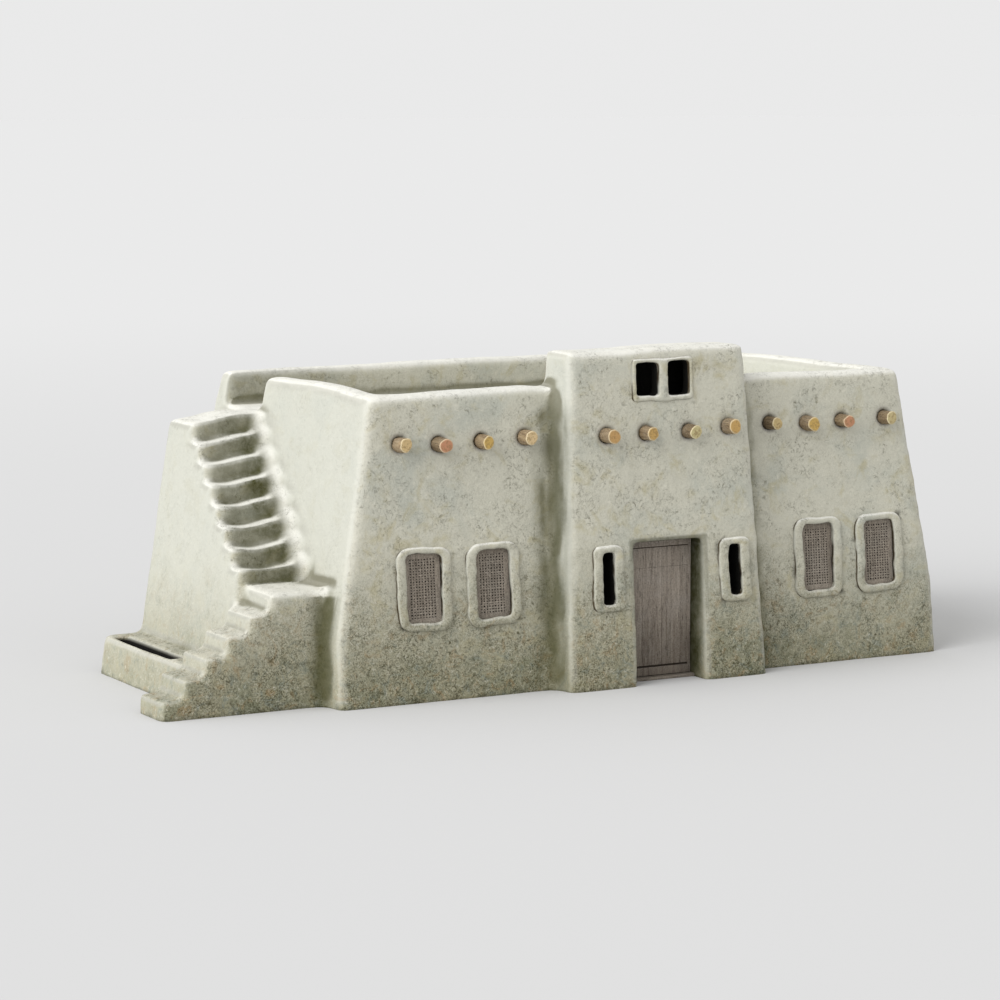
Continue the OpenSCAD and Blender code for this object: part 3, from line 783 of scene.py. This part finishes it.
def paintedShadeOf(co, no):
    # painted shade on the risers of the upper flight, the back parapet's inner face, the inner corners and
    # the jambs
    high = wallBox["stair_upper"][1]
    across = acrossStair(co)[0]
    landing = wallBox["stair_landing"][1]
    grime = step(across, 0.0, 0.20) * (1 - step(across, 0.76, 0.96))
    patchy = 0.5 + noiseAt(co, 0.30, 17.0)
    grime *= 1 - (0.35 + 0.20 * step(co[:, 2], 2.2, high.z)) * (1 - np.clip(across / 0.75, 0, 1))
    grime *= 0.72 + 0.28 * np.clip(patchy, 0, 1)
    grime *= (co[:, 1] > landing.y - 0.12) * (co[:, 2] > landing.z + 0.02) * (co[:, 0] < high.x + 0.2)
    grime *= step(-no[:, 1], 0.05, 0.45)
    parapet = (0.48 - 0.34 * step(co[:, 0], -4.6, -1.5)) * step(-no[:, 1], 0.25, 0.65)
    parapet *= (co[:, 1] > wallBox["roof_mat"][1].y - 0.1) * (co[:, 2] > high.z)
    corner = 0.70 * (1 - step(awayFromLanding(co), 0.08, 0.34)) * (co[:, 2] < landing.z - 0.1)
    below = 1 - step(co[:, 2], 4.0, 4.5)
    streaks = np.clip(0.75 + 0.9 * noiseAt(co * np.array((1.0, 1.0, 0.2)), 0.12, 3.0), 0.2, 1)
    groove = 0.60 * (1 - step(awayFromTower(co, -1), 0.22, 0.50)) * below * streaks
    slim = 0.35 * (1 - step(awayFromTower(co, 1), 0.08, 0.25)) * below
    return np.maximum.reduce([grime, parapet, corner, groove, slim, doorShade(co, 0.52)])


def addCoatFields(mesh, s):
    # wear and painted shade in the hollows, painted shade on the risers, painted darkness inside the rooms
    # and openings, painted shade at the rim of a log's hole
    co, no = points(mesh), normals(mesh)
    wear = bendOf(mesh, 0.30)
    calm = np.ones(len(co))
    for name, share in (("stair_lower", 0.18), ("stair_upper", 0.20)):
        low, high = wallBox[name]
        away = outside(co, low - Vector((0.1, 0.1, 0.1)), high + Vector((0.3, 0, 0)))
        calm = np.minimum(calm, share + (1 - share) * np.clip(away / 0.25, 0, 1))
    addField(mesh, "wear", wear * step(co[:, 2], 0.02, 0.20) * calm)
    addField(mesh, "grime", paintedShadeOf(co, no))
    # painted darkness where there is only shade: inside the rooms, in the throats of the openings, in the
    # bench's trough and on the door's jambs
    soot = np.zeros(len(co))
    for low, high in roomBoxes():
        soot = np.maximum(soot, 1 - np.clip(outside(co, low, high) / 0.07 - 0.3, 0, 1))
    for name in ringNodes:
        soot = np.maximum(soot, step(openingDepth(co, name, 0.05), -0.06, 0.0))
    low, high = wallBox["bench"]
    trough = Vector((low.x + 0.20, low.y + 0.3, 0.1)), Vector((low.x + 0.45, high.y - 0.22, high.z - 0.07))
    soot = np.maximum(soot, 1 - np.clip(outside(co, *trough) / 0.04, 0, 1))
    addField(mesh, "soot", np.maximum(soot, 0.50 * doorShade(co, 0.34)))
    # painted shade in a ring round the mouth of each log's hole
    stain = np.zeros(len(co))
    for x, z, r, rise, shift in frontLogs():
        away = np.hypot(co[:, 0] - x - shift, co[:, 2] - z - rise) - r
        stain = np.maximum(stain, np.clip(1 - np.maximum(away, 0) / s["logDark"], 0, 1) * (co[:, 1] < 1.0))
    addField(mesh, "stain", stain)


coat = makeCoat(coatSet)
addCoatFields(coat.data, coatSet)
for face in coat.data.polygons:
    face.use_smooth = face.center.z > 0.001
finishPiece(coat, "house", [plaster], coatNodes)
print("plaster coat ready")

# mud surrounds: hand-laid bands round the windows, pressed into the wall

ringSet = {
    "voxel": 0.013, "softPasses": 26,  # rounds the band's edges by about 35 mm
    "press": 0.045,  # m, how far a band reaches into the wall
    "drift": 0.026, "driftLength": 0.50, "lump": 0.012, "lumpLength": 0.15, "swell": 0.014,
    "fat": 0.012,  # m, what the rounding took off a band is laid on again
    "keep": 0.5,  # share of the triangles
}


def makeRing(name, number, s):
    out, foot = wallPlane(name)
    bm = cadCopy([name])
    for v in bm.verts:
        if v.co.dot(out) - foot < 0.004:
            v.co -= out * s["press"]
    obj = meshObject(labelled("band", name), bm)
    remeshed(obj, s["voxel"])
    mesh = obj.data
    co = relaxed(mesh, points(mesh), np.ones(len(mesh.vertices)), s["softPasses"])
    shift = number * 13.7
    along = Vector((0, 0, 1)).cross(out).normalized()
    upward = out.cross(along).normalized()
    drift = noiseAt(co, s["driftLength"], shift)
    rise = noiseAt(co, s["driftLength"], shift + 5.3)
    swell = noiseAt(co, 0.30, shift + 9.1)
    co += s["drift"] * (drift[:, None] * np.array(along) + rise[:, None] * np.array(upward))
    height = np.clip((co @ np.array(out) - foot) / 0.03, 0, 1)
    co += (s["swell"] * swell * height)[:, None] * np.array(out)
    setPoints(mesh, co)
    thick = s["fat"] + s["lump"] * noiseAt(co, s["lumpLength"], shift)
    setPoints(mesh, co + normals(mesh) * thick[:, None])
    thinned(obj, s["keep"])
    # painted shade: a dark line where the band meets the wall, heavier on its left side, and painted darkness
    # in its throat
    co = points(obj.data)
    above = co @ np.array(out) - foot
    low, high = wallBox[name]
    middle, reach = (low + high) / 2, (high - low) * 0.34
    inner = outside(co, middle - reach, middle + reach) < 0.001
    addField(obj.data, "wear", np.maximum(bendOf(obj.data, 0.05) * 0.8, -0.12))
    left = step(-normals(obj.data)[:, 0], 0.2, 0.7)
    line = 1 - step(above, 0.002 + 0.016 * left, 0.020 + 0.022 * left)
    addField(obj.data, "stain", line * (step(noiseAt(co, 0.25, shift), -0.25, 0.15) + 0.5 * left))
    addField(obj.data, "soot", (1 - step(above, -0.012, 0.022)) * inner)
    finishPiece(obj, "house", [plaster], [name])


for number, name in enumerate(ringNodes):
    makeRing(name, number, ringSet)
print("surrounds ready")

# woven lattices in the windows

latticeSet = {
    "columns": 9, "rows": 22,  # strips each way
    "border": 0.080, "borderDepth": 0.016, "lap": 0.02,  # m
    "standWidth": 0.60, "lieWidth": 0.56,  # share of the pitch that a strip covers
    "thick": 0.004, "sway": 0.005,  # m
}
latticeNodes = ["window_lattice_1", "window_lattice_2", "window_lattice_3", "window_lattice_4",
                "rear_lattice_left", "rear_lattice_right"]


def addBoard(bm, low, high, edge, shade):
    low, high = Vector(low), Vector(high)
    part = newPart(["tone"])
    bmesh.ops.create_cube(part, size=1.0)
    bmesh.ops.scale(part, verts=part.verts, vec=high - low)
    bmesh.ops.translate(part, verts=part.verts, vec=(low + high) / 2)
    bmesh.ops.bevel(part, geom=part.edges[:], offset=edge, affect="EDGES", segments=2, profile=0.5,
                    material=-1)
    tone = part.verts.layers.float["tone"]
    for v in part.verts:
        v[tone] = shade
    join(bm, part)


def addStrip(bm, start, end, width, thick, bends, phase, sway, wobble):
    # a flat strip from start to end in the plane X Z that swings to and fro along Y
    way = Vector(end) - Vector(start)
    axis = 2 if abs(way.z) > abs(way.x) else 0
    size = Vector((width, thick, way.length)) if axis == 2 else Vector((way.length, thick, width))
    part = newPart(["tone"])
    bmesh.ops.create_cube(part, size=1.0)
    bmesh.ops.scale(part, verts=part.verts, vec=size)
    long = [e for e in part.edges if abs(e.verts[0].co[axis] - e.verts[1].co[axis]) > way.length * 0.9]
    bmesh.ops.subdivide_edges(part, edges=long, cuts=bends * 2 - 1)
    tone = part.verts.layers.float["tone"]
    shade = random.random() * 0.6
    middle = (Vector(start) + Vector(end)) / 2
    for v in part.verts:
        t = v.co[axis] / way.length + 0.5
        bow = wobble * math.sin(math.pi * t)
        swing = sway * math.sin(math.pi * (t * bends - 0.5) + phase)
        v.co += middle + Vector((bow if axis == 2 else 0, swing, 0 if axis == 2 else bow))
        v[tone] = shade
    join(bm, part)


def makeLattice(name, s):
    plain = cadCopy([name])
    out = faceOut(plain, 1 if name.startswith("rear") else -1)
    along = Vector((0, 0, 1)).cross(out).normalized() * -1
    upward = along.cross(out * -1).normalized()
    if upward.z < 0:
        upward = -upward
    across = [v.co.dot(along) for v in plain.verts]
    tall = [v.co.dot(upward) for v in plain.verts]
    deep = [v.co.dot(out) for v in plain.verts]
    plain.free()
    wide, high = max(across) - min(across), max(tall) - min(tall)
    bm = newPart(["tone"])
    inner = (wide / 2 - s["border"], high / 2 - s["border"])
    pitchX, pitchZ = 2 * inner[0] / s["columns"], 2 * inner[1] / s["rows"]
    for k in range(s["columns"] + 1):
        x = -inner[0] + pitchX * k + random.uniform(-0.002, 0.002)
        addStrip(bm, (x, 0, -inner[1] - 0.02), (x, 0, inner[1] + 0.02), pitchX * s["standWidth"], s["thick"],
                 s["rows"], math.pi * (k % 2), s["sway"], random.uniform(-0.003, 0.003))
    for k in range(s["rows"] + 1):
        z = -inner[1] + pitchZ * k + random.uniform(-0.003, 0.003)
        addStrip(bm, (-inner[0] - 0.02, 0, z), (inner[0] + 0.02, 0, z), pitchZ * s["lieWidth"], s["thick"],
                 s["columns"], math.pi * ((k + 1) % 2), s["sway"], random.uniform(-0.003, 0.003))
    # the plain border, four boards that run under the mud
    reach = s["lap"]
    for x, z, w, h in ((0, high / 2 - s["border"] / 2, wide, s["border"]),
                       (0, -high / 2 + s["border"] / 2, wide, s["border"]),
                       (-wide / 2 + s["border"] / 2, 0, s["border"], high - 2 * s["border"]),
                       (wide / 2 - s["border"] / 2, 0, s["border"], high - 2 * s["border"])):
        longer, taller = (reach, 0) if w > h else (0, reach)
        half = Vector((w + longer, s["borderDepth"], h + taller)) / 2
        spot = Vector((x, 0, z))
        addBoard(bm, spot - half, spot + half, 0.003, random.random() * 0.6)
    middle = (along * (max(across) + min(across)) + upward * (max(tall) + min(tall))
              + out * (max(deep) + min(deep))) / 2
    turn = Matrix((along, -out, upward)).transposed()
    for v in bm.verts:
        v.co = turn @ v.co + middle
    bmesh.ops.recalc_face_normals(bm, faces=bm.faces)
    obj = meshObject(labelled("woven", name), bm, False)
    finishPiece(obj, "house", [latticeWood], [name])


for name in latticeNodes:
    makeLattice(name, latticeSet)
print("lattices ready")

# door of upright boards, its rails and its threshold

doorSet = {
    "boards": 7, "gap": 0.0025, "edge": 0.0025,
    "rail": 0.085, "footRail": 0.125, "stile": 0.045, "railOut": 0.008, "jointHeight": 1.69,
    "jointGap": 0.003, "topGap": 0.016, "footGap": 0.030, "uneven": 0.0025,
    "ledgeDepth": 0.012, "ledgeEnds": 0.35,  # m from the leaf's foot and top
}


def makeDoor(s):
    low, high = wallBox["door_leaf"]
    bm = newPart(["tone"])
    width = (high.x - low.x) / s["boards"]
    front = low.y + s["railOut"]
    back = high.y - s["ledgeDepth"]
    for k in range(s["boards"]):
        x = low.x + width * k
        depth = random.uniform(0, s["uneven"])
        joint = low.z + s["jointHeight"] + random.uniform(-0.004, 0.004)
        foot, top = low.z + s["footRail"] + s["footGap"], high.z - s["rail"] - s["topGap"]
        for z0, z1 in ((foot, joint - s["jointGap"] / 2), (joint + s["jointGap"] / 2, top)):
            addBoard(bm, (x + s["gap"] / 2, front + depth, z0), (x + width - s["gap"] / 2, back, z1),
                     s["edge"], random.random() * 0.35)
    # a core behind the gaps, dark as painted shade, and rails at the top and the foot
    addBoard(bm, (low.x + 0.004, front + 0.012, low.z + 0.004),
             (high.x - 0.004, back - 0.004, high.z - 0.004), s["edge"], 2.0)
    addBoard(bm, (low.x, low.y, high.z - s["rail"]), (high.x, front + 0.01, high.z), s["edge"], 0.15)
    addBoard(bm, (low.x, low.y - 0.006, low.z), (high.x, front + 0.01, low.z + s["footRail"]), s["edge"], 0.0)
    for x in (low.x, high.x - s["stile"]):
        addBoard(bm, (x, low.y + 0.002, low.z + s["footRail"] + 0.002),
                 (x + s["stile"], front + 0.01, high.z - s["rail"] - 0.002), s["edge"], 0.2)
    for z in (low.z + s["ledgeEnds"], (low.z + high.z) / 2, high.z - s["ledgeEnds"]):
        addBoard(bm, (low.x + 0.02, back - 0.005, z - 0.08), (high.x - 0.12, high.y - 0.001, z - 0.01),
                 s["edge"], 0.5)
    obj = meshObject("doorBoards", bm, False)
    finishPiece(obj, "door", [doorWood], ["door_leaf"])


def makeSill():
    low, high = wallBox["door_sill"]
    bm = newPart(["tone"])
    addBoard(bm, (low.x - 0.02, low.y, low.z), (high.x + 0.02, high.y, high.z), 0.012, 0.8)
    obj = meshObject("threshold", bm, False)
    finishPiece(obj, "house", [sillWood], ["door_sill"])


makeDoor(doorSet)
makeSill()
for name, body in (("door_straps", "door"), ("door_pintles", "house")):
    nodes[name].data.materials.clear()
    nodes[name].data.materials.append(iron)
print("door ready")

# roof logs with crooked heads

poleSet = {
    "around": 40, "every": 0.12, "rimWidth": 0.010, "knock": 0.009,
    "bow": 0.012, "rough": 0.006, "oval": 0.06, "knot": 0.010,  # m, and a share of the radius for the oval
}


def addPole(bm, low, high, head, tone, s):
    rise, shift, thick = head
    radius = (high.x - low.x) / 2
    length = high.y - low.y
    middle = (low + high) / 2
    part = newPart(["tone", "rim"])
    turn = Matrix.Rotation(math.radians(90), 4, "X")
    bmesh.ops.create_cone(part, cap_ends=True, cap_tris=False, segments=s["around"], radius1=radius,
                          radius2=radius, depth=length, matrix=Matrix.Translation(middle) @ turn)
    caps = [f for f in part.faces if len(f.verts) == s["around"]]
    long = [e for e in part.edges if abs(e.verts[0].co.y - e.verts[1].co.y) > length * 0.9]
    for face in caps:
        face.material_index = 1
    bmesh.ops.subdivide_edges(part, edges=long, cuts=max(2, int(length / s["every"])))
    caps = [f for f in part.faces if len(f.verts) == s["around"]]
    for width in (s["rimWidth"], radius * 0.2, radius * 0.25, radius * 0.25):
        bmesh.ops.inset_individual(part, faces=caps, thickness=width, depth=0)
    bmesh.ops.poke(part, faces=caps)
    toneLayer, rimLayer = part.verts.layers.float["tone"], part.verts.layers.float["rim"]
    seed = random.uniform(0, 90)
    for v in part.verts:
        away = Vector((v.co.x - middle.x, 0, v.co.z - middle.z))
        share = min(away.length / radius, 1)
        v[rimLayer] = share
        v[toneLayer] = tone
        out = away.normalized() if away.length > 1e-4 else Vector()
        atHead = float(1 - step(v.co.y, low.y, low.y + 1.1)) if low.y < 0.5 else 0.0
        turned = math.atan2(away.z, away.x)
        lump = noise.noise(Vector((v.co.x * 9, v.co.y * 5, v.co.z * 9 + seed)))
        knot = noise.noise(Vector((out.x * 1.8 + seed, v.co.y * 1.2, out.z * 1.8)))
        swell = radius * (thick - 1) + s["oval"] * radius * math.cos(2 * turned + seed)
        swell += s["rough"] * lump + s["knot"] * knot
        fromFront, fromBack = v.co.y - low.y, high.y - v.co.y
        bow = s["bow"] * math.sin(math.pi * min(max(fromFront / length, 0), 1))
        if min(fromFront, fromBack) < 0.001:
            # the sawn face is a little uneven, and its rim is knocked round
            inward = 0.006 * noise.noise(Vector((v.co.x * 6, seed, v.co.z * 6)))
            inward += s["knock"] * float(step(share, 0.93, 1.0))
            swell -= s["knock"] * 0.5 * float(step(share, 0.9, 1.0))
            v.co.y += inward if fromFront < 0.001 else -inward
        v.co += out * swell * share + Vector((shift, 0, rise)) * atHead
        v.co += Vector((math.sin(seed), 0, math.cos(seed))) * bow
    join(bm, part)


def makePoles(name, label, tones, s):
    bm = newPart(["tone", "rim"])
    heads = list(logSet[name])
    for low, high in logBoxes[name]:
        atFront = low.y < 0.5
        head = heads.pop(0) if atFront and heads else (0, 0, random.uniform(0.93, 1.04))
        addPole(bm, low, high, head, tones.pop(0) if atFront and tones else random.random(), s)
    obj = meshObject(label, bm)
    finishPiece(obj, "house", [logBark, logEnd], [name])


makePoles("vigas_left", "logsLeft", [0.05, 0.6, 0.2, 0.0], poleSet)
makePoles("vigas_porch", "logsPorch", [0.4, 0.3, 0.8, 0.32], poleSet)
makePoles("vigas_right", "logsRight", [0.95, 0.2, 0.6, 0.78], poleSet)
print("logs ready")

for name, material in (("floor", earth), ("roof_mat", cane)):
    nodes[name].data.materials.clear()
    nodes[name].data.materials.append(material)
